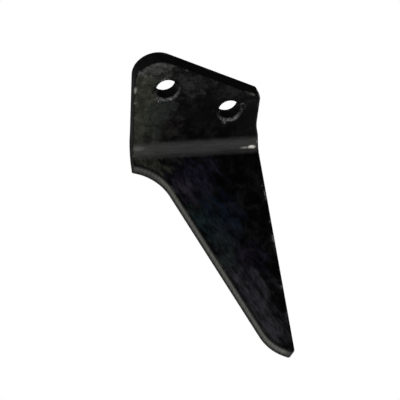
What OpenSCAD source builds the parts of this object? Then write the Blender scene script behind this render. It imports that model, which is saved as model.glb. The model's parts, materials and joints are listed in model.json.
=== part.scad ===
// Power harrow tine: one steel plate, cut to outline, drilled and folded hot.
// The origin is midway between the two bolt holes, on the face that seats on the rotor.
// The blade hangs straight down (-Z), the fold runs along X and the hollow side faces -Y.

/* [Plate] */
// Thickness of the steel plate
plate_t = 15; // [10:0.5:18]
// Angle that the flange is folded through, away from the blade's plane
fold_angle = 65; // [40:1:80]
// Radius on the hollow side of the fold
fold_r = 13; // [8:0.5:20]

/* [Bolt holes] */
// Diameter of the two bolt holes
hole_d = 18; // [12:0.5:22]
// Distance between the centres of the holes
hole_spacing = 60; // [50:0.5:64]
// Fall of the line through the holes, from left to right
hole_fall = 24; // [10:1:32]
// Width of the chamfer at the hollow side, where the bolt heads sit
head_chamfer = 2.5; // [0.5:0.25:4]
// Width of the chamfer at the seating side
seat_chamfer = 1.25; // [0.5:0.25:4]

/* [Flange] */
// Distance from the middle of the hole pair down to the start of the fold
hole_to_fold = 41; // [34:0.5:55]
// Distance from the middle of the hole pair square to the slanted top edge
hole_to_top = 23.5; // [18:0.5:35]
// Fall of the top edge, from left to right
top_fall = 26; // [10:1:32]
// Distance from the middle of the hole pair across to the left side, at the fold
left_reach = 52.5; // [46:0.5:65]
// Outward lean of the flange's left side
left_lean = 2.5; // [0:0.25:6]
// Distance from the middle of the hole pair across to the flange's right side
right_reach = 52.5; // [46:0.5:55]
// Radius of the large corner over the left hole
crown_r = 20; // [6:0.5:26]
// Radius of the small corner over the right hole
ear_r = 4; // [1:0.5:10]

/* [Waist] */
// Amount that the blade stands out past the flange's right side
waist_step = 3.3; // [1:0.1:8]
// Height over which the right side eases out to the blade
waist_rise = 13; // [6:0.5:20]
// Radius of both curves of the waist
waist_r = 40; // [10:1:50]

/* [Blade] */
// Length of the blade from the fold to its right corner
blade_length = 179.5; // [140:0.5:260]
// Depth of the left shoulder below the fold
shoulder_depth = 4.8; // [2:0.2:15]
// Fall of the shoulder's lower edge before it turns down
shoulder_fall = 17; // [0:1:30]
// Reach of the shoulder's lower edge to where it would meet the cutting edge
shoulder_run = 21.6; // [15:0.2:35]
// Radius of the hollow sweep from the shoulder into the cutting edge
sweep_r = 41; // [15:1:60]
// Slant of the straight cutting edge, from upright
cut_slant = 23.2; // [15:0.1:25]
// Fall of the tip's lower edge, from left to right
tip_fall = 26.5; // [5:0.5:45]
// Radius of the belly between the cutting edge and the tip's lower edge
belly_r = 35; // [5:1:60]

/* [Corners] */
// Radius of the shoulder corner
shoulder_r = 1.5; // [0.5:0.1:4]
// Radius of the tip corner
tip_r = 2.5; // [0.5:0.1:6]

/* [Hidden] */
$fn = 96;

// Outer radius of the fold, on the seating side
fold_outer_r = fold_r + plate_t;
// Left side and right side of the blade
blade_left = -left_reach;
blade_right = right_reach + waist_step;
// Y and Z of the fold's axis
fold_axis = from_seat(-hole_to_fold, plate_t + fold_r);
// Length that the outlines run on along the straight sides across the fold
over = 2 * fold_outer_r;
// Amount that a corner's circle reaches past its two edges, so that it crosses them cleanly
bite = 0.005;
// Stock that a corner's piece has past the sharp corner
spare = 1;
// Spare width and length of the folded slab around the outline
slab_w = 2 * (abs(blade_left) + blade_right);
slab_l = blade_length + 2 * hole_to_fold;

// Y and Z of a point at a distance up the flange and another off its seat
function from_seat(up, off) = [
    -up * sin(fold_angle) - off * cos(fold_angle),
    up * cos(fold_angle) - off * sin(fold_angle),
];

// Height on the top edge at a place across the flange
function top_at(x) = hole_to_top / cos(top_fall) - x * tan(top_fall);

// Place on the left side of the flange at a height above the start of the fold
function left_at(h) = blade_left - h * tan(left_lean);

// Where the leaning left side meets the slanted top edge
crown_h = (top_at(blade_left) + hole_to_fold) / (1 - tan(left_lean) * tan(top_fall));

// The waist's slope, and where its two curves sit: the lower one ends at the fold's middle
waist_lean = atan(waist_step / waist_rise);
waist_foot = -hole_to_fold - fold_r * sin(fold_angle / 2) + waist_r * tan(waist_lean / 2);

// Heights are taken from the start of the fold on the blade, downwards negative
sweep_corner = [
    blade_left + shoulder_run,
    -shoulder_depth - shoulder_run * tan(shoulder_fall),
];
// Where the cutting edge would meet the tip's lower edge
belly_run = (blade_length + sweep_corner[1] - (blade_right - sweep_corner[0]) * tan(tip_fall))
    / (1 / tan(cut_slant) - tan(tip_fall));
belly_corner = [
    sweep_corner[0] + belly_run,
    sweep_corner[1] - belly_run / tan(cut_slant),
];

// Corners of the flange, anticlockwise, as [across, up, radius] from the hole pair
FLANGE = [
    [blade_left, -hole_to_fold - over, 0],
    [blade_right, -hole_to_fold - over, 0],
    [blade_right, waist_foot, waist_r],
    [right_reach, waist_foot + waist_rise, waist_r],
    [right_reach, top_at(right_reach), ear_r],
    [left_at(crown_h), crown_h - hole_to_fold, crown_r],
    [blade_left, -hole_to_fold, 0],
];

// Corners of the blade, anticlockwise, as [across, up, radius] from the start of the fold
BLADE = [
    [blade_left, over, 0],
    [blade_left, -shoulder_depth, shoulder_r],
    [sweep_corner[0], sweep_corner[1], sweep_r],
    [belly_corner[0], belly_corner[1], belly_r],
    [blade_right, -blade_length, tip_r],
    [blade_right, over, 0],
];

// What the flange's outline cuts from the folded slab: it runs wide under the slanted waist,
// because the slab's own end is the blade's right side, and down the whole left side
FLANGE_CUT = [
    [blade_left, -slab_l],
    [slab_w, -slab_l],
    [slab_w, waist_foot - 3 * waist_rise],
    [blade_right + 3 * waist_step, waist_foot - 3 * waist_rise],
    [right_reach, waist_foot + waist_rise],
    [right_reach, top_at(right_reach)],
    [left_at(crown_h), crown_h - hole_to_fold],
    [blade_left, -hole_to_fold],
];

// What the blade's outline cuts: it runs wide on both sides, above the shoulder and the tip
BLADE_CUT = [
    [-slab_w, slab_l],
    [-slab_w, (slab_w + blade_left) * tan(shoulder_fall) - shoulder_depth],
    sweep_corner,
    belly_corner,
    [slab_w, -blade_length - (slab_w - blade_right) * tan(tip_fall)],
    [slab_w, slab_l],
];

// A point of the flange in the side view, at a radius from the fold's axis and a length past it
function up_fold(radius, length) = [
    radius * cos(fold_angle) - length * sin(fold_angle),
    radius * sin(fold_angle) + length * cos(fold_angle),
];

// Corners of the folded plate seen from its side, anticlockwise, as [back, up, radius]
SIDE_VIEW = [
    [fold_r, -slab_l, 0],
    [fold_outer_r, -slab_l, 0],
    [fold_outer_r, fold_outer_r * tan(fold_angle / 2), fold_outer_r],
    [each up_fold(fold_outer_r, slab_l), 0],
    [each up_fold(fold_r, slab_l), 0],
    [fold_r, fold_r * tan(fold_angle / 2), fold_r],
];

// Plain place, edge direction and turn of each corner of an outline
function place(c) = [c[0], c[1]];
function heading(a, b) = (b - a) / norm(b - a);
function turn(a, b, c) = let(d = heading(a, b), e = heading(b, c)) atan2(cross(d, e), d * e);

// An outline's corners as [place, heading in, heading out, turn, length in, tangent length wanted]
function surveyed(corners) = [
    for (i = [0 : len(corners) - 1])
        let(
            n = len(corners),
            a = place(corners[(i + n - 1) % n]),
            b = place(corners[i]),
            c = place(corners[(i + 1) % n]),
            bend = turn(a, b, c)
        )
        [b, heading(a, b), heading(b, c), bend, norm(b - a), corners[i][2] * tan(abs(bend) / 2)]
];

// Share of the wanted radius that both neighbouring edges have room for
function share(survey, i) = let(
        n = len(survey),
        before = survey[(i + n - 1) % n][5],
        after = survey[(i + 1) % n],
        own = max(survey[i][5], 0.001)
    )
    min(1, survey[i][4] / (before + own), after[4] / (after[5] + own));

// A block of a height cut to a figure, with true arcs at the corners. Each corner's piece is
// what lies between the sharp corner and its arc: off an outer corner, into an inner one
module rounded_block(figure, corners, height) {
    survey = surveyed(corners);
    difference() {
        union() {
            linear_extrude(height) polygon(figure);
            for (i = [0 : len(survey) - 1])
                if (survey[i][5] > 0 && survey[i][3] < 0)
                    linear_extrude(height)
                        corner_piece(survey[i], corners[i][2] * share(survey, i), -1);
        }
        for (i = [0 : len(survey) - 1])
            if (survey[i][5] > 0 && survey[i][3] > 0)
                translate([0, 0, -1]) linear_extrude(height + 2)
                    corner_piece(survey[i], corners[i][2] * share(survey, i), 1);
    }
}

// The piece between a sharp corner and an arc of radius r, with spare stock past the corner;
// side is 1 where the outline turns left and -1 where it turns right
module corner_piece(s, r, side) {
    reach = r * tan(abs(s[3]) / 2);
    touch = [s[0] - s[1] * reach, s[0] + s[2] * reach];
    middle = touch[0] + side * r * [-s[1][1], s[1][0]];
    grow = 1 + spare / r;
    difference() {
        polygon([for (p = [middle, touch[0], s[0], touch[1]]) middle + (p - middle) * grow]);
        translate(middle) circle(r = r + bite);
    }
}

// Stands a flat drawing on the seat: its X is across, its Y up the flange, its Z to the hollow side
module on_flange() {
    rotate([90 + fold_angle, 0, 0]) children();
}

// Stands a flat drawing on the blade's hollow face, with the start of the fold at its Y zero
module on_blade() {
    translate([0, fold_axis[0] + fold_r, fold_axis[1]]) rotate([90, 0, 0]) children();
}

// The folded slab: a side view that runs from past the left side to the blade's right side
module folded_slab() {
    translate([blade_right - slab_w, fold_axis[0], fold_axis[1]])
        rotate([90, 0, 90])
            rounded_block([for (c = SIDE_VIEW) place(c)], SIDE_VIEW, slab_w);
}

// One bolt hole with a chamfer at each mouth; side is -1 for the left hole and 1 for the right
module bolt_hole(side) {
    r = hole_d / 2;
    on_flange()
        translate(side * hole_spacing / 2 * [cos(hole_fall), -sin(hole_fall), 0]) {
            translate([0, 0, -1]) cylinder(r = r, h = plate_t + 2);
            translate([0, 0, -1]) cylinder(r1 = r + seat_chamfer + 1, r2 = r, h = seat_chamfer + 1);
            translate([0, 0, plate_t - head_chamfer])
                cylinder(r1 = r, r2 = r + head_chamfer + 1, h = head_chamfer + 1);
        }
}

// The whole tine
module tine() {
    color([0.12, 0.12, 0.125])
        difference() {
            intersection() {
                folded_slab();
                on_flange() translate([0, 0, -over]) rounded_block(FLANGE_CUT, FLANGE, slab_l + over);
                on_blade() translate([0, 0, -over]) rounded_block(BLADE_CUT, BLADE, slab_l + over);
            }
            bolt_hole(-1);
            bolt_hole(1);
        }
}

tine();
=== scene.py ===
"""Dresses a power harrow tine: one hot-folded steel plate, dipped in black paint."""

import json
import logging
import math
from dataclasses import dataclass, field
from enum import Enum

import bmesh
import bpy
import numpy as np
from mathutils import Matrix, Vector
from mathutils.geometry import delaunay_2d_cdt

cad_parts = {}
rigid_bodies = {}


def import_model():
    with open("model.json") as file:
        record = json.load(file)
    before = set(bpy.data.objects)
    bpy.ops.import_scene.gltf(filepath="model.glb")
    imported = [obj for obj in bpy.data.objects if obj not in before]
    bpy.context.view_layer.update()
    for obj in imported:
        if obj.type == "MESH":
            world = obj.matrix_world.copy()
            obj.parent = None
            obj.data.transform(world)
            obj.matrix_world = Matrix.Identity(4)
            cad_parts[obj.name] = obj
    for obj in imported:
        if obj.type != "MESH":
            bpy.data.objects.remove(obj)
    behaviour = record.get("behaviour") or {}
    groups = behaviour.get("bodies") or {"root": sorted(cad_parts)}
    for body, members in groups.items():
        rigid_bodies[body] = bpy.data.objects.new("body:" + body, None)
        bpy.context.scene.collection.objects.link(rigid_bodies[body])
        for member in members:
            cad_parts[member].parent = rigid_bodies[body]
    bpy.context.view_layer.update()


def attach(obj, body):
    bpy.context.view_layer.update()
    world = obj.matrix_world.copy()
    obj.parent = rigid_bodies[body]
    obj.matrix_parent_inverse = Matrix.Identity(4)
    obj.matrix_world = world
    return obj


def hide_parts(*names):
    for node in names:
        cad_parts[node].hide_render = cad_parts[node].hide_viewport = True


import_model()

log = logging.getLogger("tine")

MM = 0.001


class Face(Enum):
    """The two broad faces of the plate, as a depth in plate thicknesses."""

    HOLLOW = 0.0
    SEAT = 1.0


@dataclass(frozen=True)
class Corner:
    """One corner of the flat outline, in millimetres: place across, place up, and radius."""

    across: float
    up: float
    radius: float = 0.0


@dataclass
class Outline:
    """The plate's flat outline as lines and tangent arcs, walked anticlockwise.

    Attributes:
        corners: The sharp corners with their radii.
        step: Longest distance between two samples, in millimetres.
    """

    corners: list[Corner]
    step: float = 1.3

    def walk(self) -> tuple[np.ndarray, np.ndarray, np.ndarray]:
        """Samples the outline.

        Each corner of radius r that turns by a is replaced by an arc whose centre stands r
        off both edges, starting r * tan(a / 2) before the sharp corner. Between two arcs the
        points lie evenly on the straight edge.

        Returns:
            Points (n, 2), outward normals (n, 2) and the distance walked (n,), in millimetres.
        """
        sharp = np.array([(c.across, c.up) for c in self.corners])
        radius = np.array([c.radius for c in self.corners])
        into = sharp - np.roll(sharp, 1, axis=0)
        into /= np.linalg.norm(into, axis=1)[:, None]
        away = np.roll(into, -1, axis=0)
        bend = np.arctan2(
            into[:, 0] * away[:, 1] - into[:, 1] * away[:, 0], (into * away).sum(1)
        )
        reach = radius * np.tan(np.abs(bend) / 2)
        start = sharp - into * reach[:, None]
        end = sharp + away * reach[:, None]
        points, normals = [], []
        for i, c in enumerate(self.corners):
            out = np.array([into[i, 1], -into[i, 0]])
            count = max(3, int(np.ceil(abs(bend[i]) * max(c.radius, 0.1) / self.step)) + 1)
            count = max(count, int(np.ceil(abs(math.degrees(bend[i])) / 6)) + 1)
            turn = np.linspace(0, bend[i], count)
            spun = np.stack(
                [
                    out[0] * np.cos(turn) - out[1] * np.sin(turn),
                    out[0] * np.sin(turn) + out[1] * np.cos(turn),
                ],
                1,
            )
            side = math.copysign(c.radius, bend[i])
            points.append(start[i] - side * out + side * spun)
            normals.append(spun)
            far = start[(i + 1) % len(self.corners)]
            length = np.linalg.norm(far - end[i])
            inner = max(2, int(np.ceil(length / self.step)) + 1)
            share = np.linspace(0, 1, inner)[1:-1, None]
            points.append(end[i] + (far - end[i]) * share)
            normals.append(np.repeat(spun[-1:], len(share), 0))
        path, normal = np.concatenate(points), np.concatenate(normals)
        gaps = np.linalg.norm(np.diff(path, axis=0), axis=1)
        return path, normal, np.concatenate([[0.0], np.cumsum(gaps)])


@dataclass
class BoltHole:
    """A bolt hole in the flange, in millimetres on the flat plate."""

    across: float
    up: float
    radius: float
    hollow_chamfer: float
    seat_chamfer: float
    soft: float = 0.35
    around: int = 120

    def profile(self, thickness: float) -> tuple[np.ndarray, np.ndarray]:
        """The wall's profile from the hollow face to the seat face.

        Args:
            thickness: The plate's thickness.

        Returns:
            Radii and depths of the profile: a softened mouth, the wide chamfer, the bore, the
            narrow chamfer and the other mouth.
        """
        r, a, b, s = self.radius, self.hollow_chamfer, self.seat_chamfer, self.soft
        radii = [r + a + s, r + a + 0.4 * s, r + a - 0.2 * s, r + 0.6 * a, r + 0.3 * s]
        depths = [0.0, 0.08 * s, 0.4 * s, 0.4 * a, a - 0.3 * s]
        radii += [r + 0.04 * s, r, r, r, r, r + 0.04 * s, r + 0.3 * s]
        depths += [a + 0.2 * s, a + 0.7 * s, 0.35 * thickness, 0.6 * thickness]
        depths += [thickness - b - 0.7 * s, thickness - b - 0.2 * s, thickness - b + 0.3 * s]
        radii += [r + b - 0.2 * s, r + b + 0.4 * s, r + b + s]
        depths += [thickness - 0.4 * s, thickness - 0.08 * s, thickness]
        return np.array(radii), np.array(depths)

    def circle(self, radius: float) -> np.ndarray:
        """Points (n, 2) of a circle round the hole's axis."""
        turn = np.linspace(0, 2 * math.pi, self.around, endpoint=False)
        ring = np.stack([np.cos(turn), np.sin(turn)], 1)
        return np.array([self.across, self.up]) + radius * ring


@dataclass
class Patch:
    """Some vertices of the plate on its flat pattern, and the faces between them.

    Attributes:
        flat: Place across and place up the flat pattern (n, 2).
        depth: Depth from the hollow face (n,).
        faces: Corner numbers of each face.
        along: Distance along the rim (n,).
        side: One on the cut edge and zero on the broad faces (n,).
    """

    flat: np.ndarray
    depth: np.ndarray
    faces: np.ndarray
    along: np.ndarray
    side: np.ndarray


def grid_faces(rows: int, cols: int, flip: bool) -> np.ndarray:
    """Four-cornered faces of a grid that is closed along its rows.

    Args:
        rows: Number of points round the closed direction.
        cols: Number of points across.
        flip: Whether the faces look the other way.

    Returns:
        Vertex numbers (rows * (cols - 1), 4).
    """
    i, j = np.meshgrid(np.arange(rows), np.arange(cols - 1), indexing="ij")
    near, far = i * cols + j, (i + 1) % rows * cols + j
    quad = np.stack([near, far, far + 1, near + 1], -1).reshape(-1, 4)
    return quad[:, ::-1] if flip else quad


@dataclass(frozen=True)
class Wear:
    """Where the paint's marks lie on the plate: wear, and painted light and shade.

    Widths, fades and ways are in millimetres. The light band and the hairline are measured in
    plate thicknesses, the band from the hollow face and the hairline from the band.
    """

    arris: float = 1.5
    arris_lost: float = 0.8  # share of the wear that is missing along the cutting edge
    cut_near: float = 2.0
    cut_fade: float = 3.0
    tip_fade: float = 6.0
    start_fade: float = 3.0
    start_share: float = 0.3
    shoulder: float = 16.0  # way along the rim that the shoulder takes
    sweep: float = 32.0  # way at which the cut is fully bare
    shoulder_share: float = 0.5
    band: float = 0.26
    band_hollow: float = 0.16
    band_seat: float = 0.52
    hair: float = 0.44
    hair_width: float = 0.07
    # Width of the painted dark reflection on the hollow face beside the cutting edge.
    dark_line: float = 2.2
    mouth: float = 0.4  # by this much a hole's mouth counts as further off than an arris
    mouth_depth: float = 0.4
    soft: float = 0.3  # half the depth over which a chamfer passes into the wall
    lip: float = 0.05
    rolled_in: float = 3.0
    rolled_fade: float = 2.0
    # The rolled side gets less of the rim's painted shade.
    rolled_rim: float = 0.75  # share of the cut rim's look that the rolled side lacks
    # Where the chamfers' painted highlight lies: near a hole, on the side that ring_way points to.
    ring_out: float = 16.0
    ring_way: tuple[float, float] = (0.5, -0.87)
    ring_power: float = 1.5
    # Where the fold's painted highlight lies across the fold, and how strong it is there.
    fold_up: tuple[float, ...] = (-0.8, 1.6, 7.0, 12.0, 16.5)
    fold_share: tuple[float, ...] = (0.0, 0.55, 0.8, 1.0, 0.0)
    fold_arc: float = 14.7  # arc length for which the places in fold_up are given


@dataclass
class FoldedPlate:
    """The whole tine as one folded plate. Sizes are in millimetres and degrees.

    The flat pattern has its zero where the fold starts on the blade: the blade lies below
    it, then comes the arc on the hollow side, then the flange.
    """

    plate_t: float = 15.0
    fold_angle: float = 65.0
    fold_r: float = 13.0
    hole_d: float = 18.0
    hole_spacing: float = 60.0
    hole_fall: float = 24.0
    head_chamfer: float = 2.5
    seat_chamfer: float = 1.25
    hole_to_fold: float = 41.0
    hole_to_top: float = 23.5
    top_fall: float = 26.0
    left_reach: float = 52.5
    left_lean: float = 2.5
    right_reach: float = 52.5
    crown_r: float = 20.0
    ear_r: float = 4.0
    waist_step: float = 3.3
    waist_rise: float = 13.0
    waist_r: float = 40.0
    blade_length: float = 179.5
    shoulder_depth: float = 4.8
    shoulder_fall: float = 17.0
    shoulder_run: float = 21.6
    sweep_r: float = 41.0
    cut_slant: float = 23.2
    tip_fall: float = 26.5
    belly_r: float = 35.0
    shoulder_r: float = 1.5
    tip_r: float = 2.5
    arris_r: float = 1.1
    rolled_r: float = 2.4
    rolled_bulge: float = 0.6
    net: float = 1.6
    wave: float = 0.1
    wear: Wear = Wear()
    arc: float = field(init=False)
    centre: tuple[float, float] = field(init=False)

    def __post_init__(self) -> None:
        """Works out the fold's arc length and the place of its axis."""
        a = math.radians(self.fold_angle)
        off = self.plate_t + self.fold_r
        self.arc = self.fold_r * a
        self.centre = (
            self.hole_to_fold * math.sin(a) - off * math.cos(a),
            -self.hole_to_fold * math.cos(a) - off * math.sin(a),
        )

    def outline(self) -> Outline:
        """The outline's corners on the flat pattern, anticlockwise from the shoulder."""
        rad, left, right = math.radians, -self.left_reach, self.right_reach + self.waist_step
        pair = self.arc + self.hole_to_fold
        fall = math.tan(rad(self.top_fall))
        top = self.hole_to_top / math.cos(rad(self.top_fall))
        lean = math.tan(rad(self.left_lean))
        crown = (top - left * fall + self.hole_to_fold) / (1 - lean * fall)
        sweep_x = left + self.shoulder_run
        sweep_u = -self.shoulder_depth - self.shoulder_run * math.tan(rad(self.shoulder_fall))
        cut, tip = 1 / math.tan(rad(self.cut_slant)), math.tan(rad(self.tip_fall))
        run = (self.blade_length + sweep_u - (right - sweep_x) * tip) / (cut - tip)
        slope = math.atan(self.waist_step / self.waist_rise)
        foot = self.arc - self.fold_r * math.sin(rad(self.fold_angle / 2))
        foot += self.waist_r * math.tan(slope / 2)
        return Outline(
            [
                Corner(left, -self.shoulder_depth, self.shoulder_r),
                Corner(sweep_x, sweep_u, self.sweep_r),
                Corner(sweep_x + run, sweep_u - run * cut, self.belly_r),
                Corner(right, -self.blade_length, self.tip_r),
                Corner(right, foot, self.waist_r),
                Corner(self.right_reach, foot + self.waist_rise, self.waist_r),
                Corner(self.right_reach, pair + top - self.right_reach * fall, self.ear_r),
                Corner(left - crown * lean, self.arc + crown, self.crown_r),
                Corner(left, self.arc, 30.0),
            ]
        )

    def cutting_length(self) -> float:
        """Way along the rim from the shoulder to the tip corner, in millimetres."""
        path, _, walked = self.outline().walk()
        return float(walked[np.argmin(path[:, 1])])

    def holes(self) -> list[BoltHole]:
        """The two bolt holes, left one first."""
        fall, pair = math.radians(self.hole_fall), self.arc + self.hole_to_fold
        half, r = self.hole_spacing / 2, self.hole_d / 2
        return [
            BoltHole(
                side * half * math.cos(fall),
                pair - side * half * math.sin(fall),
                r,
                self.head_chamfer,
                self.seat_chamfer,
            )
            for side in (-1, 1)
        ]

    def fold(self, flat: np.ndarray, depth: np.ndarray) -> np.ndarray:
        """Folds points of the flat pattern into space.

        On the blade a point hangs straight down. In the arc it turns round the fold's axis
        at the hollow radius plus its depth. On the flange it runs on along the tangent.

        Args:
            flat: Place across and place up the flat pattern (n, 2).
            depth: Depth from the hollow face (n,).

        Returns:
            Places in metres (n, 3).
        """
        x, u = flat[:, 0], flat[:, 1]
        turn = np.clip(u / self.arc, 0, 1) * math.radians(self.fold_angle)
        up, down, r = np.maximum(u - self.arc, 0), np.minimum(u, 0), self.fold_r + depth
        y = self.centre[0] + r * np.cos(turn) - up * np.sin(turn)
        z = self.centre[1] + r * np.sin(turn) + up * np.cos(turn) + down
        return np.stack([x, y, z], 1) * MM

    @staticmethod
    def rolled(normal: np.ndarray) -> np.ndarray:
        """Share of the bar's rolled side at each outline sample: one where it looks right (n,)."""
        return np.clip((normal[:, 0] - 0.90) / 0.08, 0, 1)

    def arrises(self, normal: np.ndarray) -> np.ndarray:
        """Arris radius at each outline sample: small where cut, wide on the rolled side (n,)."""
        return self.arris_r + (self.rolled_r - self.arris_r) * self.rolled(normal)

    def rim(self) -> Patch:
        """The plate's edge: a profile with two rounded arrises carried round the outline.

        The profile is a quarter circle, a straight wall and another quarter circle. On the
        rolled side the circles are larger, and the wall swells by half a sine wave.
        """
        path, normal, walked = self.outline().walk()
        turn = np.linspace(0, math.pi / 2, 7)
        r = self.arrises(normal)[:, None]
        inset = np.concatenate([1 - np.sin(turn), np.zeros(9), 1 - np.cos(turn)])
        wall = np.linspace(0, 1, 11)[None, 1:-1]
        depth = np.concatenate(
            [
                r * (1 - np.cos(turn)),
                r + (self.plate_t - 2 * r) * wall,
                self.plate_t - r + r * np.sin(turn),
            ],
            1,
        )
        swell = self.rolled_bulge * self.rolled(normal)[:, None]
        swell = swell * np.sin(math.pi * np.clip(depth / self.plate_t, 0, 1))
        flat = path[:, None, :] - normal[:, None, :] * (r * inset - swell)[:, :, None]
        rows, cols = depth.shape
        return Patch(
            flat.reshape(-1, 2),
            depth.reshape(-1),
            grid_faces(rows, cols, False),
            np.repeat(walked, cols),
            np.tile(1 - inset, rows),
        )

    def bore(self, hole: BoltHole) -> Patch:
        """One hole's wall: its profile turned round the hole's axis."""
        radii, depths = hole.profile(self.plate_t)
        rings = np.stack([hole.circle(r) for r in radii], 1)
        rows, cols = hole.around, len(radii)
        return Patch(
            rings.reshape(-1, 2),
            np.tile(depths, rows),
            grid_faces(rows, cols, True),
            np.zeros(rows * cols),
            np.zeros(rows * cols),
        )

    def broad(self, face: Face) -> Patch:
        """One broad face: a net of triangles between the rim's and the holes' inner lines.

        Inside the lines the points stand on a square net, with closer rows in the fold.

        Args:
            face: Which of the two faces.

        Returns:
            The face's patch.
        """
        path, normal, _ = self.outline().walk()
        edge = path - normal * self.arrises(normal)[:, None]
        chamfer = {Face.HOLLOW: self.head_chamfer, Face.SEAT: self.seat_chamfer}[face]
        rings = [h.circle(h.radius + chamfer + h.soft) for h in self.holes()]
        low, high = edge.min(0), edge.max(0)
        across = np.arange(low[0], high[0], self.net)
        up = np.concatenate(
            [
                -np.arange(0.8, -low[1], self.net)[::-1],
                np.linspace(0, self.arc, 25),
                self.arc + np.arange(0.8, high[1] - self.arc, self.net),
            ]
        )
        net = np.stack(np.meshgrid(across, up), -1).reshape(-1, 2)
        keep = self.inside(net, edge) & (self.gap(net, edge) > 0.6 * self.net)
        for hole, ring in zip(self.holes(), rings):
            out = np.linalg.norm(net - [hole.across, hole.up], axis=1)
            keep &= out > np.linalg.norm(ring[0] - [hole.across, hole.up]) + 0.5 * self.net
        loops = [edge, *(ring[::-1] for ring in rings)]
        points = np.concatenate([*loops, net[keep]])
        starts = np.cumsum([0, *(len(loop) for loop in loops)])
        lines = [
            np.stack([np.arange(a, b), np.roll(np.arange(a, b), -1)], 1)
            for a, b in zip(starts, starts[1:])
        ]
        made = delaunay_2d_cdt(
            points.tolist(), np.concatenate(lines).tolist(), [], 0, 1e-5, False
        )
        flat = np.array([tuple(p) for p in made[0]])
        triangles = np.array(made[2])
        middle = flat[triangles].mean(1)
        keep = self.inside(middle, edge)
        for hole, ring in zip(self.holes(), rings):
            keep &= ~self.inside(middle, ring)
        triangles = triangles[keep]
        a, b, c = (flat[triangles[:, k]] for k in range(3))
        ab, ac = b - a, c - a
        left = ab[:, 0] * ac[:, 1] - ab[:, 1] * ac[:, 0] > 0
        turned = np.where((left == (face is Face.HOLLOW))[:, None], triangles, triangles[:, ::-1])
        depth = np.full(len(flat), face.value * self.plate_t)
        return Patch(flat, depth, turned, np.zeros(len(flat)), np.zeros(len(flat)))

    @staticmethod
    def inside(points: np.ndarray, loop: np.ndarray) -> np.ndarray:
        """Whether each point is inside a closed loop, by counting crossings to its right."""
        x, y = points[:, 0, None], points[:, 1, None]
        ax, ay = loop[:, 0], loop[:, 1]
        bx, by = np.roll(ax, -1), np.roll(ay, -1)
        spans = (ay > y) != (by > y)
        rise = np.where(by == ay, 1e-12, by - ay)
        return (spans & (x < (bx - ax) * (y - ay) / rise + ax)).sum(1) % 2 == 1

    @staticmethod
    def gap(points: np.ndarray, loop: np.ndarray) -> np.ndarray:
        """Distance from each point to the nearest sample of a loop."""
        parts = np.array_split(points, max(1, len(points) // 4000))
        near = [((p[:, None, :] - loop[None, :, :]) ** 2).sum(2).min(1) for p in parts]
        return np.sqrt(np.concatenate(near))

    def unevenness(self, place: np.ndarray) -> np.ndarray:
        """Low waves of hot-rolled plate, as the sum of four slanted sine waves (n,)."""
        x, y, z = (place / MM).T
        return (
            np.sin(x / 17 + z / 29 + 0.4)
            + np.sin(z / 13 - x / 23 + 1.9)
            + 0.6 * np.sin(x / 7.3 + y / 9.1 - z / 11.7)
            + 0.5 * np.sin(z / 6.1 + x / 8.7 + 2.6)
        ) * (self.wave / 3.1)

    def build(self) -> bpy.types.Object:
        """Joins the patches into one closed mesh, with the attributes that the paint reads."""
        patches = [self.rim(), self.broad(Face.HOLLOW), self.broad(Face.SEAT)]
        patches += [self.bore(hole) for hole in self.holes()]
        flat = np.concatenate([p.flat for p in patches])
        depth = np.concatenate([p.depth for p in patches])
        place = self.fold(flat, depth)
        ahead = self.fold(flat, depth + 0.01) - place
        ahead /= np.linalg.norm(ahead, axis=1)[:, None]
        bulge = np.clip((depth / self.plate_t - 0.5) * 2, -1, 1)
        calm = np.clip((self.gap(flat, self.outline().walk()[0]) - 0.2) / 12, 0, 1)
        for hole in self.holes():
            out = np.linalg.norm(flat - [hole.across, hole.up], axis=1)
            calm *= np.clip((out - hole.radius - 2) / 6, 0, 1)
        place += ahead * (self.unevenness(place) * calm * bulge * MM)[:, None]
        starts = np.cumsum([0, *(len(p.flat) for p in patches)])
        faces = [row for p, start in zip(patches, starts) for row in (p.faces + start).tolist()]
        mesh = bpy.data.meshes.new("tine_body")
        mesh.from_pydata(place.tolist(), [], faces)
        self.mark(mesh, flat, depth, patches)
        body = bpy.data.objects.new("tine_body", mesh)
        bpy.context.scene.collection.objects.link(body)
        self.weld(body)
        return body

    def mark(
        self,
        mesh: bpy.types.Mesh,
        flat: np.ndarray,
        depth: np.ndarray,
        patches: list[Patch],
    ) -> None:
        """Writes the attributes that the paint reads.

        Args:
            mesh: The plate's mesh.
            flat: Place of each vertex on the flat pattern (n, 2).
            depth: Depth of each vertex from the hollow face (n,).
            patches: The patches in the order of the vertices, with the holes' walls last.
        """
        w = self.wear
        side = np.concatenate([p.side for p in patches])
        way = np.concatenate([p.along for p in patches])
        path, _, walked = self.outline().walk()
        from_cut = self.gap(flat, path[walked < self.cutting_length()])
        cutting = 1 - np.clip((from_cut - w.cut_near) / w.cut_fade, 0, 1)
        rolled = np.clip((flat[:, 0] - self.right_reach + w.rolled_in) / w.rolled_fade, 0, 1)
        away = self.gap(flat, path)
        arris = self.arris_distance(flat, depth, side, away)
        bands = np.array(w.fold_up) * self.arc / w.fold_arc
        values = {
            "arris": np.exp(-((np.maximum(arris, 0) / w.arris) ** 2))
            * (1 - w.arris_lost * cutting),
            # Rim: near-black painted shade and a rougher finish, less on the rolled side.
            "edge_face": side * (1 - w.rolled_rim * rolled),
            "rolled_side": side * rolled,
            # Painted dark reflection beside the cutting edge.
            "dark_line": cutting
            * (depth < self.plate_t / 2)
            * np.exp(-((arris / w.dark_line) ** 4)),
            "rim_way": way * MM,
            # The fold's painted highlight.
            "fold_highlight": np.interp(flat[:, 1], bands, w.fold_share),
            **self.cut_marks(depth, side, way),
            **self.hole_marks(flat, depth, patches),
        }
        for name, value in values.items():
            mesh.attributes.new(name, "FLOAT", "POINT").data.foreach_set(
                "value", value.astype(np.float32)
            )

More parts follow.
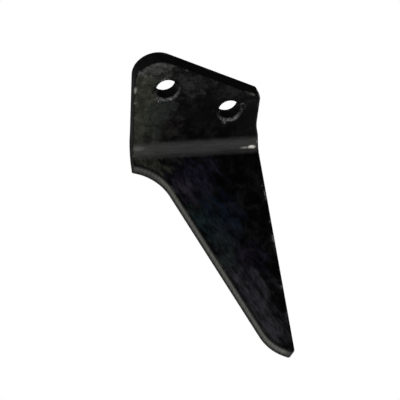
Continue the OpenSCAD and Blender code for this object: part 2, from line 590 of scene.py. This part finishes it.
    def arris_distance(
        self, flat: np.ndarray, depth: np.ndarray, side: np.ndarray, away: np.ndarray
    ) -> np.ndarray:
        """Distance to the nearest arris of the rim or mouth of a hole, in millimetres (n,).

        It is the depth on the rim and the distance from the outline elsewhere. At a hole it is
        the distance from the mouth's circle plus a share of the depth.
        """
        w = self.wear
        inner = np.minimum(depth, self.plate_t - depth)
        arris = np.where(side > 0.01, inner, away)
        mouth = np.where(depth < self.plate_t / 2, self.head_chamfer, self.seat_chamfer)
        for hole in self.holes():
            out = np.linalg.norm(flat - [hole.across, hole.up], axis=1)
            ring = np.abs(out - hole.radius - mouth) + np.maximum(inner, 0) * w.mouth_depth
            arris = np.minimum(arris, ring + w.mouth)
        return arris

    def cut_marks(
        self, depth: np.ndarray, side: np.ndarray, way: np.ndarray
    ) -> dict[str, np.ndarray]:
        """The cutting edge's light band of worn steel and painted highlight, a bell across the
        thickness, and its dark hairline.
        """
        w = self.wear
        edge = np.clip((self.cutting_length() - way) / w.tip_fade, 0, 1)
        edge *= np.clip(way / w.start_fade + w.start_share, 0, 1)
        share = [w.shoulder_share, w.shoulder_share, 1]
        edge *= np.interp(way, [0, w.shoulder, w.sweep], share)
        level = depth / self.plate_t - w.band
        bell = np.exp(-((level / np.where(level < 0, w.band_hollow, w.band_seat)) ** 2))
        hair = np.exp(-(((level - w.hair) / w.hair_width) ** 2))
        return {"cut_side": side * edge * bell, "hairline": side * edge * hair}

    def hole_marks(
        self, flat: np.ndarray, depth: np.ndarray, patches: list[Patch]
    ) -> dict[str, np.ndarray]:
        """The holes' walls, their chamfers, and the rings' lower right: the walls' painted shade,
        the chamfers' painted shadow and their painted highlight.
        """
        w = self.wear
        inner = np.minimum(depth, self.plate_t - depth)
        first = len(patches) - len(self.holes())
        bore = np.concatenate([np.full(len(p.flat), i >= first) for i, p in enumerate(patches)])
        chamfer = np.clip((self.head_chamfer + w.soft - depth) / (2 * w.soft), 0, 1)
        seat = depth - self.plate_t + self.seat_chamfer
        chamfer += np.clip((seat + w.soft) / (2 * w.soft), 0, 1)
        chamfer *= np.clip((inner - w.lip) / w.soft, 0, 1)
        rubbed = np.zeros(len(flat))
        for hole in self.holes():
            off = flat - [hole.across, hole.up]
            out = np.maximum(np.linalg.norm(off, axis=1), 0.1)
            low = np.clip(0.5 + 0.5 * (off @ w.ring_way) / out, 0, 1) ** w.ring_power
            rubbed = np.where(out < w.ring_out, low, rubbed)
        return {
            "bore_wall": bore * (1 - chamfer),
            "chamfer": bore * chamfer,
            "chamfer_highlight": bore * chamfer * rubbed**2,
        }

    @staticmethod
    def weld(body: bpy.types.Object) -> None:
        """Merges the patches' shared lines and smooths the shading."""
        made = bmesh.new()
        made.from_mesh(body.data)
        bmesh.ops.remove_doubles(made, verts=made.verts, dist=2e-6)
        bmesh.ops.recalc_face_normals(made, faces=made.faces)
        made.to_mesh(body.data)
        made.free()
        body.data.shade_smooth()


class Nodes:
    """A material's nodes, made and joined by short calls."""

    def __init__(self, material: bpy.types.Material | bpy.types.World) -> None:
        """Empties the tree of a material or a world and keeps it."""
        material.use_nodes = True
        self.tree = material.node_tree
        self.tree.nodes.clear()

    def add(self, kind: str, **values: object) -> bpy.types.Node:
        """Makes one node.

        Args:
            kind: Blender's name of the node type.
            values: The node's own settings, or inputs by name with spaces as underscores, or
                by number as i0. A socket given as a value is joined to that input.

        Returns:
            The new node.
        """
        node = self.tree.nodes.new(kind)
        for name, value in values.items():
            if hasattr(node, name):
                setattr(node, name, value)
                continue
            numbered = name[0] == "i" and name[1:].isdigit()
            key = int(name[1:]) if numbered else name.replace("_", " ")
            if isinstance(value, bpy.types.NodeSocket):
                self.tree.links.new(value, node.inputs[key])
            else:
                node.inputs[key].default_value = value
        return node

    def noise(
        self, where: bpy.types.NodeSocket, scale: float, **more: object
    ) -> bpy.types.NodeSocket:
        """A noise pattern's grey value, for a scale in waves per metre."""
        return self.add("ShaderNodeTexNoise", Vector=where, Scale=scale, **more).outputs[0]

    def math(self, operation: str, *values: object, clamp: bool = False) -> bpy.types.NodeSocket:
        """One sum of up to three numbers or sockets."""
        node = self.add("ShaderNodeMath", operation=operation, use_clamp=clamp)
        self.feed(node.inputs, values)
        return node.outputs[0]

    def feed(self, sockets: object, values: object) -> None:
        """Gives each socket its number, colour or vector, or joins it to another socket."""
        for socket, value in zip(sockets, values):
            if isinstance(value, bpy.types.NodeSocket):
                self.tree.links.new(value, socket)
            else:
                socket.default_value = value

    def times(self, *values: object) -> bpy.types.NodeSocket:
        """The product of two or more numbers or sockets."""
        product, *others = values
        for value in others:
            product = self.math("MULTIPLY", product, value)
        return product

    def span(
        self, value: bpy.types.NodeSocket, low: float, high: float, to: tuple[float, float] = (0, 1)
    ) -> bpy.types.NodeSocket:
        """Maps a value from one span to another, smoothly and held at both ends."""
        node = self.add("ShaderNodeMapRange", interpolation_type="SMOOTHSTEP", Value=value)
        node.inputs["From Min"].default_value, node.inputs["From Max"].default_value = low, high
        node.inputs["To Min"].default_value, node.inputs["To Max"].default_value = to
        return node.outputs[0]

    def vector(self, operation: str, *values: object, scale: float = 1.0) -> bpy.types.NodeSocket:
        """One sum of up to two vectors, or a vector scaled."""
        node = self.add("ShaderNodeVectorMath", operation=operation)
        if operation == "SCALE":
            node.inputs["Scale"].default_value = scale
        self.feed(node.inputs, values)
        return node.outputs["Value" if operation in ("LENGTH", "DOT_PRODUCT") else "Vector"]

    def spot(
        self,
        where: bpy.types.NodeSocket,
        place: tuple[float, float, float],
        reach: tuple[float, float, float],
    ) -> bpy.types.NodeSocket:
        """A soft mark: one at a place, and zero where the offset is as long as the reach."""
        offset = self.vector("DIVIDE", self.vector("SUBTRACT", where, place), reach)
        return self.span(self.vector("LENGTH", offset), 1.0, 0.25)

    def grey(self, value: bpy.types.NodeSocket) -> bpy.types.NodeSocket:
        """A number as a grey colour."""
        return self.add("ShaderNodeCombineXYZ", X=value, Y=value, Z=value).outputs[0]

    def mix(
        self, share: object, first: object, second: object, blend: str = "MIX"
    ) -> bpy.types.NodeSocket:
        """Mixes two colours by a share."""
        node = self.add("ShaderNodeMix", data_type="RGBA", blend_type=blend)
        self.feed((node.inputs[0], node.inputs[6], node.inputs[7]), (share, first, second))
        return node.outputs[2]


@dataclass(frozen=True)
class PaintedSheen:
    """A soft cloud of painted light and shade in the paint: place and reach in metres, colour and
    strength.
    """

    place: tuple[float, float, float]
    reach: tuple[float, float, float]
    colour: tuple[float, float, float, float]
    strength: float = 1.0

    @property
    def on_blade(self) -> bool:
        """Whether the cloud lies on the blade, where the dip ran off in strokes."""
        return self.place[1] > 0.03


@dataclass(frozen=True)
class BareMark:
    """A rubbed place where steel shows: its place and reach in metres, and how bare it is."""

    place: tuple[float, float, float]
    reach: tuple[float, float, float]
    strength: float = 1.0


@dataclass
class Patterns:
    """What every layer of the paint draws on.

    Attributes:
        where: Object coordinates.
        marks: The plate's vertex attributes by name.
        patch: Noise in patches of about a centimetre.
        fine: Noise of about a millimetre.
        grain: Noise of a few tenths of a millimetre.
        streak: Fine streaks down the blade.
        strokes: Coordinates drawn out along the cutting edge.
        line: The way along the rim, as a vector.
        lines: Fine lines across the cut edge.
    """

    where: bpy.types.NodeSocket
    marks: dict[str, bpy.types.NodeSocket]
    patch: bpy.types.NodeSocket
    fine: bpy.types.NodeSocket
    grain: bpy.types.NodeSocket
    streak: bpy.types.NodeSocket
    strokes: bpy.types.NodeSocket
    line: bpy.types.NodeSocket
    lines: bpy.types.NodeSocket


@dataclass(frozen=True)
class BlackPaint:
    """Semi-gloss black dip paint over mill scale, worn at the arrises, with painted light and
    shade.

    The colours are the blackest paint, which also lays the painted shade, thinner grey paint, dust,
    the grey of the fold's painted highlight, bare steel, the cut edge's light grey of worn steel
    and painted highlight, the grey of the chamfers' painted highlight and the near-black painted
    shade of the holes' walls. Scales are in waves per metre. The slant turns the strokes from
    upright, in degrees. The drift is the span over which the clouds' borders are pushed, and relief
    the height of the bump, both in metres.
    """

    name: str = "black_paint"
    deep: tuple[float, ...] = (0.0006, 0.0006, 0.0007, 1)
    grey: tuple[float, ...] = (0.0024, 0.0024, 0.0025, 1)
    dust: tuple[float, ...] = (0.016, 0.016, 0.015, 1)
    # Grey of the fold's painted highlight.
    folded: tuple[float, ...] = (0.031, 0.031, 0.0305, 1)
    bare: tuple[float, ...] = (0.45, 0.44, 0.41, 1)
    # Light grey of the cutting edge: worn steel with a painted highlight.
    cut: tuple[float, ...] = (0.210, 0.210, 0.192, 1)
    # Grey of the painted highlight on the chamfers' lower right.
    rubbed: tuple[float, ...] = (0.140, 0.140, 0.138, 1)
    # Near-black painted shade in the holes' walls.
    bore_shade: tuple[float, ...] = (0.0006, 0.0004, 0.0010, 1)
    patch_scale: float = 95.0
    fine_scale: float = 900.0
    grain_scale: float = 2600.0
    speckle_scale: float = 420.0
    streak_scale: tuple[float, ...] = (620, 620, 110)
    highlight_streak_scale: tuple[float, ...] = (55, 700, 700)
    stroke_scale: tuple[float, ...] = (170, 170, 50)
    line_scale: float = 1400.0
    gap_scale: float = 260.0
    slant: float = -30.0
    drift: float = 0.050
    # How strong the fold's painted highlight is.
    fold_share: float = 0.9
    # How far the rim is darkened with painted shade.
    rim_share: float = 0.97
    scuff_share: float = 0.7
    dust_share: float = 0.35
    # How dark the painted dark reflection beside the cutting edge is.
    line_share: float = 0.95
    # How dark the painted shadow in the chamfers is.
    chamfer_share: float = 0.9
    rim_roughness: float = 0.45
    wall_roughness: float = 0.4
    bare_metal: float = 0.7
    shine: float = 0.05
    bump: float = 0.5
    relief: float = 0.0003
    # Soft clouds of painted sheen and painted shade on the faces.
    painted_sheens: tuple[PaintedSheen, ...] = (
        PaintedSheen((-0.065, 0.0, -0.012), (0.055, 0.10, 0.060), (0.022, 0.0235, 0.0165, 1)),
        PaintedSheen((-0.030, 0.0, -0.018), (0.018, 0.06, 0.022), (0.009, 0.013, 0.012, 1), 0.6),
        PaintedSheen((-0.020, 0.016, -0.024), (0.007, 0.03, 0.014), (0.0080, 0.0045, 0.0050, 1), 0.5),
        PaintedSheen((-0.044, -0.042, 0.003), (0.026, 0.018, 0.015), (0.050, 0.050, 0.047, 1)),
        PaintedSheen((-0.012, -0.022, -0.006), (0.030, 0.016, 0.014), (0.012, 0.012, 0.012, 1)),
        PaintedSheen((0.028, -0.012, -0.011), (0.026, 0.012, 0.012), (0.007, 0.007, 0.007, 1)),
        PaintedSheen((0.047, 0.012, -0.023), (0.024, 0.028, 0.020), (0.0006, 0.0006, 0.0006, 1)),
        PaintedSheen((0.006, 0.006, -0.020), (0.030, 0.020, 0.014), (0.0006, 0.0006, 0.0006, 1), 0.9),
        PaintedSheen((-0.040, 0.04, -0.050), (0.027, 0.05, 0.017), (0.026, 0.026, 0.021, 1)),
        PaintedSheen((-0.002, 0.04, -0.062), (0.030, 0.05, 0.026), (0.0072, 0.0062, 0.0125, 1)),
        PaintedSheen((-0.013, 0.04, -0.074), (0.012, 0.05, 0.020), (0.0125, 0.0110, 0.0160, 1)),
        PaintedSheen((0.014, 0.04, -0.098), (0.026, 0.05, 0.036), (0.0026, 0.0046, 0.0095, 1)),
        PaintedSheen((-0.001, 0.04, -0.104), (0.014, 0.05, 0.026), (0.0062, 0.0112, 0.0116, 1)),
        PaintedSheen((0.012, 0.04, -0.128), (0.016, 0.05, 0.030), (0.0082, 0.0116, 0.0124, 1)),
        PaintedSheen((0.034, 0.04, -0.140), (0.014, 0.05, 0.026), (0.0080, 0.0062, 0.0125, 1), 0.8),
        PaintedSheen((0.026, 0.04, -0.168), (0.026, 0.05, 0.034), (0.0180, 0.0170, 0.0205, 1)),
        PaintedSheen((0.036, 0.04, -0.200), (0.023, 0.05, 0.032), (0.0170, 0.0160, 0.0190, 1)),
    )
    marks: tuple[BareMark, ...] = (
        BareMark((0.0497, 0.0370, -0.0372), (0.0046, 0.012, 0.0019), 0.75),
        BareMark((0.0440, 0.0368, -0.0374), (0.0060, 0.012, 0.0012), 0.25),
        BareMark((-0.0480, 0.0348, -0.0338), (0.0080, 0.012, 0.0022), 0.08),
        BareMark((-0.0550, -0.0200, -0.0080), (0.0030, 0.006, 0.0030), 0.5),
    )

    def patterns(self, n: Nodes) -> Patterns:
        """Makes the noises and reads the plate's attributes.

        The strokes' coordinates are turned so that one of them runs along the cutting edge,
        and packed less closely along it than across it.
        """
        where = n.add("ShaderNodeTexCoord").outputs["Object"]
        names = (
            "arris", "edge_face", "rolled_side", "cut_side", "hairline", "dark_line",
            "rim_way", "fold_highlight", "bore_wall", "chamfer", "chamfer_highlight",
        )
        marks = {
            name: n.add("ShaderNodeAttribute", attribute_name=name).outputs["Fac"]
            for name in names
        }
        long = n.add("ShaderNodeMapping", Vector=where, Scale=self.streak_scale).outputs[0]
        strokes = n.add(
            "ShaderNodeMapping",
            vector_type="TEXTURE",
            Vector=where,
            Rotation=(0, math.radians(self.slant), 0),
            Scale=tuple(1 / scale for scale in self.stroke_scale),
        ).outputs[0]
        line = n.add("ShaderNodeCombineXYZ", X=marks["rim_way"]).outputs[0]
        return Patterns(
            where,
            marks,
            n.noise(where, self.patch_scale, Detail=4.0, Roughness=0.6, Distortion=0.5),
            n.noise(where, self.fine_scale, Detail=3.0, Roughness=0.6),
            n.noise(where, self.grain_scale, Detail=2.0, Roughness=0.5),
            n.noise(long, 1.0, Detail=3.0, Roughness=0.6),
            strokes,
            line,
            n.noise(line, self.line_scale, Detail=3.0, Roughness=0.7),
        )

    def clouds(self, n: Nodes, p: Patterns) -> bpy.types.NodeSocket:
        """The black, drifting between deep and grey, with the clouds of painted sheen and shade.

        A noise pushes the clouds' borders about in strokes. On the blade a second noise
        breaks the clouds themselves into strokes.
        """
        push = n.add("ShaderNodeTexNoise", Vector=p.strokes, Scale=1.0, Detail=4.0)
        pushed = n.vector("SCALE", push.outputs["Color"], scale=self.drift)
        pushed = n.vector("SUBTRACT", pushed, (self.drift / 2,) * 3)
        pushed = n.vector("ADD", p.where, pushed)
        broken = n.span(n.noise(p.strokes, 1.8, Detail=3.0), 0.36, 0.56, (0.35, 1.0))
        colour = n.mix(n.span(p.patch, 0.40, 0.66), self.deep, self.grey)
        for sheen_cloud in self.painted_sheens:
            cloud = n.times(n.spot(pushed, sheen_cloud.place, sheen_cloud.reach), sheen_cloud.strength)
            if sheen_cloud.on_blade:
                cloud = n.times(cloud, broken)
            colour = n.mix(cloud, colour, sheen_cloud.colour)
        return colour

    def handled(
        self, n: Nodes, p: Patterns, colour: bpy.types.NodeSocket
    ) -> bpy.types.NodeSocket:
        """The paint after handling, with painted light and shade.

        The fold gets a grey painted highlight, streaked along its length, the rim gets near-black
        painted shade, fine streaks darken the faces but not the fold, the rolled side is scuffed,
        and a little dust is on all.
        """
        folded = p.marks["fold_highlight"]
        across = n.add("ShaderNodeMapping", Vector=p.where, Scale=self.highlight_streak_scale).outputs[0]
        highlight_streaks = n.noise(across, 1.0, Detail=3.0, Roughness=0.55)
        highlight_streaks = n.span(highlight_streaks, 0.3, 0.7, (0.6, 1.0))
        # Painted highlight on the fold band, streaked along its length.
        colour = n.mix(n.times(folded, highlight_streaks, self.fold_share), colour, self.folded)
        # Near-black painted shade on the rim.
        colour = n.mix(n.times(p.marks["edge_face"], self.rim_share), colour, self.deep)
        streaks = n.span(p.streak, 0.35, 0.62, (0.3, 0.75))
        shade = n.math("ADD", streaks, n.span(p.patch, 0.38, 0.62, (0.1, 0.7)))
        shade = n.mix(folded, n.grey(shade), (1, 1, 1, 1))
        colour = n.mix(1.0, colour, shade, "MULTIPLY")
        scuffs = n.times(n.span(p.streak, 0.42, 0.62), n.span(p.patch, 0.36, 0.60, (0.3, 1.0)))
        scuffs = n.times(p.marks["rolled_side"], n.times(scuffs, self.scuff_share))
        colour = n.mix(scuffs, colour, self.dust)
        dusty = n.times(n.span(p.patch, 0.52, 0.7), n.span(p.fine, 0.5, 0.72))
        return n.mix(n.times(dusty, self.dust_share), colour, self.dust)

    def cut_edge(
        self, n: Nodes, p: Patterns, colour: bpy.types.NodeSocket
    ) -> bpy.types.NodeSocket:
        """The cutting edge: a painted dark reflection beside it, a light band of worn steel and
        painted highlight with fine lines, a broken hairline.
        """
        # Light band of the cutting edge: worn steel with a painted highlight, broken by fine lines.
        cut_wear_and_highlight = n.mix(n.span(p.lines, 0.35, 0.7), self.cut, self.grey)
        # Painted dark reflection beside the cutting edge.
        colour = n.mix(n.times(p.marks["dark_line"], self.line_share), colour, self.deep)
        colour = n.mix(p.marks["cut_side"], colour, cut_wear_and_highlight)
        gaps = n.span(n.noise(p.line, self.gap_scale, Detail=2.0), 0.42, 0.58, (0.3, 0.95))
        return n.mix(n.times(p.marks["hairline"], gaps), colour, self.deep)

    def bareness(self, n: Nodes, p: Patterns) -> bpy.types.NodeSocket:
        """How bare the steel is: small specks close to an arris, and the marks."""
        near = n.times(p.marks["arris"], n.span(p.patch, 0.56, 0.66))
        speck = n.math("ADD", n.span(p.fine, 0.56, 0.66), n.times(p.grain, 0.2))
        worn = n.math("MULTIPLY", near, speck, clamp=True)
        for mark in self.marks:
            rub = n.times(n.spot(p.where, mark.place, mark.reach), mark.strength)
            rub = n.times(rub, n.span(p.fine, 0.3, 0.5))
            worn = n.math("MAXIMUM", worn, rub)
        return worn

    def holes(
        self,
        n: Nodes,
        p: Patterns,
        colour: bpy.types.NodeSocket,
        worn: bpy.types.NodeSocket,
    ) -> bpy.types.NodeSocket:
        """The holes' chamfers in painted shadow with a painted highlight on their lower right, bare
        steel, and the walls in painted shade.
        """
        patchy = n.noise(p.where, self.speckle_scale, Detail=2.0)
        patchy = n.span(patchy, 0.40, 0.60, (0.25, 1.0))
        # Painted shadow in the chamfers.
        colour = n.mix(n.times(p.marks["chamfer"], self.chamfer_share), colour, self.deep)
        # Painted highlight on the chamfers' lower right.
        colour = n.mix(n.times(p.marks["chamfer_highlight"], patchy), colour, self.rubbed)
        colour = n.mix(worn, colour, self.bare)
        # Painted shade in the holes' walls.
        return n.mix(p.marks["bore_wall"], colour, self.bore_shade)

    def surface(
        self, n: Nodes, p: Patterns, worn: bpy.types.NodeSocket
    ) -> tuple[bpy.types.NodeSocket, bpy.types.NodeSocket]:
        """Roughness and relief.

        Returns:
            The roughness, higher on the rim and in the holes, and the bumped normal: patches
            everywhere, fine grain that is calmer in the fold, and ridges across the cut edge.
        """
        gloss = n.span(p.patch, 0.35, 0.7, (0.34, 0.46))
        gloss = n.math("ADD", gloss, n.times(p.marks["edge_face"], self.rim_roughness))
        wall = n.times(p.marks["bore_wall"], self.wall_roughness)
        gloss = n.math("ADD", gloss, wall, clamp=True)
        calm = n.span(p.marks["fold_highlight"], 0.2, 0.8, (1.0, 0.3))
        height = n.math("ADD", n.times(p.fine, 0.16), n.times(p.grain, 0.06))
        height = n.math("ADD", n.times(height, calm), n.times(p.patch, 0.9))
        ridges = n.times(p.lines, p.marks["cut_side"], 0.5)
        height = n.math("SUBTRACT", n.math("ADD", height, ridges), n.times(worn, 0.3))
        bump = n.add("ShaderNodeBump", Strength=self.bump, Distance=self.relief, Height=height)
        return gloss, bump.outputs[0]

    def material(self) -> bpy.types.Material:
        """Builds the paint, layer upon layer.

        Returns:
            The material.
        """
        material = bpy.data.materials.new(self.name)
        n = Nodes(material)
        p = self.patterns(n)
        worn = self.bareness(n, p)
        colour = self.cut_edge(n, p, self.handled(n, p, self.clouds(n, p)))
        gloss, normal = self.surface(n, p, worn)
        shader = n.add(
            "ShaderNodeBsdfPrincipled",
            Base_Color=self.holes(n, p, colour, worn),
            Roughness=gloss,
            Metallic=n.times(worn, self.bare_metal),
            Normal=normal,
        )
        shader.inputs["Specular IOR Level"].default_value = self.shine
        out = n.add("ShaderNodeOutputMaterial")
        n.tree.links.new(shader.outputs[0], out.inputs["Surface"])
        return material


@dataclass(frozen=True)
class WhiteSweep:
    """Plain white stock of the floor, which keeps the shadow and runs out into the white room."""

    name: str = "white_sweep"
    colour: tuple[float, ...] = (0.88, 0.88, 0.88, 1)
    near: float = 0.9
    far: float = 4.0

    def material(self) -> bpy.types.Material:
        """Builds the floor's matt white.

        With the distance from the middle the matt white gives way to the room's own white,
        which the camera, mirrors and glass see, so that no line shows where the floor ends.

        Returns:
            The material.
        """
        material = bpy.data.materials.new(self.name)
        n = Nodes(material)
        where = n.add("ShaderNodeTexCoord").outputs["Object"]
        flat = n.vector("MULTIPLY", where, (1, 1, 0))
        out_there = n.span(n.vector("LENGTH", flat), self.near, self.far)
        paths = n.add("ShaderNodeLightPath")
        seen = n.math("MAXIMUM", paths.outputs["Is Camera Ray"], paths.outputs["Is Glossy Ray"])
        seen = n.math("MAXIMUM", seen, paths.outputs["Is Transmission Ray"])
        matt = n.add("ShaderNodeBsdfDiffuse", Color=self.colour)
        white = n.add("ShaderNodeEmission", Strength=1.0)
        blend = n.add("ShaderNodeMixShader", i0=n.math("MULTIPLY", out_there, seen))
        n.tree.links.new(matt.outputs[0], blend.inputs[1])
        n.tree.links.new(white.outputs[0], blend.inputs[2])
        out = n.add("ShaderNodeOutputMaterial")
        n.tree.links.new(blend.outputs[0], out.inputs["Surface"])
        return material


@dataclass(frozen=True)
class Softbox:
    """An area lamp: a name, where it stands from the tine in metres, its width and power."""

    name: str
    place: tuple[float, float, float]
    width: float
    power: float


@dataclass
class Studio:
    """The camera, the lamps, the white world and the floor.

    Attributes:
        azimuth: Turn of the view round the upright, in degrees.
        elevation: Height of the view, in degrees; it is below the tine.
        roll: Turn of the picture, in degrees.
        distance: From the tine's fold to the camera, in millimetres.
        aside: Shift of the camera to the picture's right and up, in millimetres.
        aim: The point that the camera's axes are laid through, in millimetres.
        focal: Picture elements to the millimetre at the distance, for a picture 400 wide.
        floor_z: Height of the floor, in metres.
        dim_side: Direction of the dim side that mirrors see.
        dim: Level of that side.
        plain: Level of the room for matt surfaces.
    """

    azimuth: float = -13.661
    elevation: float = -23.144
    roll: float = -9.271
    distance: float = 1400.0
    aside: tuple[float, float] = (4.187, -36.137)
    aim: tuple[float, float, float] = (0.0, 38.325, -42.704)
    focal: float = 1.194
    floor_z: float = -1.4
    dim_side: tuple[float, float, float] = (0.35, -0.60, 0.72)
    dim: float = 0.08
    plain: float = 0.38
    lamps: tuple[Softbox, ...] = (
        Softbox("low_front_box", (0.27, -0.88, -0.80), 1.3, 12.0),
        Softbox("left_box", (-1.5, -0.2, 0.1), 1.0, 4.0),
        Softbox("back_box", (0.9, 1.5, 1.0), 1.2, 16.0),
        Softbox("top_box", (-0.3, 0.5, 1.7), 0.8, 6.0),
        Softbox("right_box", (1.2, -0.15, -0.7), 0.8, 4.0),
    )

    def axes(self) -> Matrix:
        """The camera's right, up and back directions, as the columns of a matrix."""
        a, e, s = (math.radians(v) for v in (self.azimuth, self.elevation, self.roll))
        look = Vector((-math.sin(a) * math.cos(e), math.cos(a) * math.cos(e), -math.sin(e)))
        level = Vector((math.cos(a), math.sin(a), 0))
        above = level.cross(look)
        right = math.cos(s) * level + math.sin(s) * above
        up = -math.sin(s) * level + math.cos(s) * above
        return Matrix((right, up, -look)).transposed()

    def camera(self) -> bpy.types.Object:
        """Places the camera where the photograph was taken from."""
        data = bpy.data.cameras.new("photo_view")
        data.sensor_width = 36.0
        data.lens = self.focal * self.distance / 400 * 36
        data.clip_start, data.clip_end = 0.05, 50
        view = bpy.data.objects.new("photo_view", data)
        turn = self.axes()
        place = turn @ Vector((*self.aside, self.distance)) + Vector(self.aim)
        view.matrix_world = Matrix.Translation(place * MM) @ turn.to_4x4()
        bpy.context.scene.collection.objects.link(view)
        bpy.context.scene.camera = view
        return view

    def light(self, box: Softbox) -> bpy.types.Object:
        """Hangs one soft lamp, turned to the tine."""
        data = bpy.data.lights.new(box.name, "AREA")
        data.shape, data.size, data.energy = "DISK", box.width, box.power
        lamp = bpy.data.objects.new(box.name, data)
        place, target = Vector(box.place), Vector((0, 0.02, -0.08))
        lamp.matrix_world = (
            Matrix.Translation(place)
            @ (target - place).to_track_quat("-Z", "Y").to_matrix().to_4x4()
        )
        bpy.context.scene.collection.objects.link(lamp)
        return lamp

    def world(self) -> None:
        """Gives a room that shows as plain white and lights the tine evenly.

        Matt surfaces get a plain level from all around. What the tine mirrors is the white
        room behind and beside it and a dim side in front and above, where the photographer
        stands: the level falls smoothly with the cosine between a ray and that side.
        """
        scene = bpy.context.scene
        scene.world = bpy.data.worlds.new("white_room")
        n = Nodes(scene.world)
        ray = n.add("ShaderNodeTexCoord").outputs["Generated"]
        paths = n.add("ShaderNodeLightPath")
        toward = n.vector("DOT_PRODUCT", ray, self.dim_side)
        mirrored = n.math(
            "MULTIPLY", paths.outputs["Is Glossy Ray"], n.span(toward, -0.3, 0.3, (1.0, self.dim))
        )
        matt = n.math("MULTIPLY", paths.outputs["Is Diffuse Ray"], self.plain)
        seen = n.math(
            "MAXIMUM", paths.outputs["Is Camera Ray"], paths.outputs["Is Transmission Ray"]
        )
        level = n.math("MAXIMUM", seen, n.math("MAXIMUM", mirrored, matt))
        glow = n.add("ShaderNodeBackground", Strength=level)
        glow.inputs["Color"].default_value = (1, 1, 1, 1)
        out = n.add("ShaderNodeOutputWorld")
        n.tree.links.new(glow.outputs[0], out.inputs["Surface"])

    def floor(self, finish: WhiteSweep) -> bpy.types.Object:
        """Lays a wide round floor well under the hanging tine.

        Args:
            finish: The floor's finish.

        Returns:
            The floor, a disc of rings and spokes.
        """
        turn = np.linspace(0, 2 * math.pi, 64, endpoint=False)
        radii = np.array([0.02, 1.0, 3.0, 8.0])
        ring = np.stack([np.cos(turn), np.sin(turn), np.zeros(64)], 1)
        place = (ring[:, None, :] * radii[None, :, None]).reshape(-1, 3)
        place[:, 2] = self.floor_z
        faces = [tuple(row) for row in grid_faces(64, 4, True).tolist()]
        mesh = bpy.data.meshes.new("floor")
        mesh.from_pydata(place.tolist(), [], [*faces, tuple(range(0, 256, 4))])
        mesh.materials.append(finish.material())
        floor = bpy.data.objects.new("floor", mesh)
        bpy.context.scene.collection.objects.link(floor)
        return floor

    def build(self) -> None:
        """Sets the whole studio and the plain view transform."""
        bpy.context.scene.view_settings.view_transform = "Standard"
        self.camera()
        for box in self.lamps:
            self.light(box)
        self.world()
        self.floor(WhiteSweep())


def main() -> None:
    """Builds and dresses the tine, then the studio."""
    logging.basicConfig(level=logging.INFO, format="%(name)s: %(message)s")
    body = FoldedPlate().build()
    body.data.materials.append(BlackPaint().material())
    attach(body, "root")
    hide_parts("tine")
    log.info("tine_body: %d vertices, %d faces", len(body.data.vertices), len(body.data.polygons))
    Studio().build()


if __name__ == "__main__":
    main()
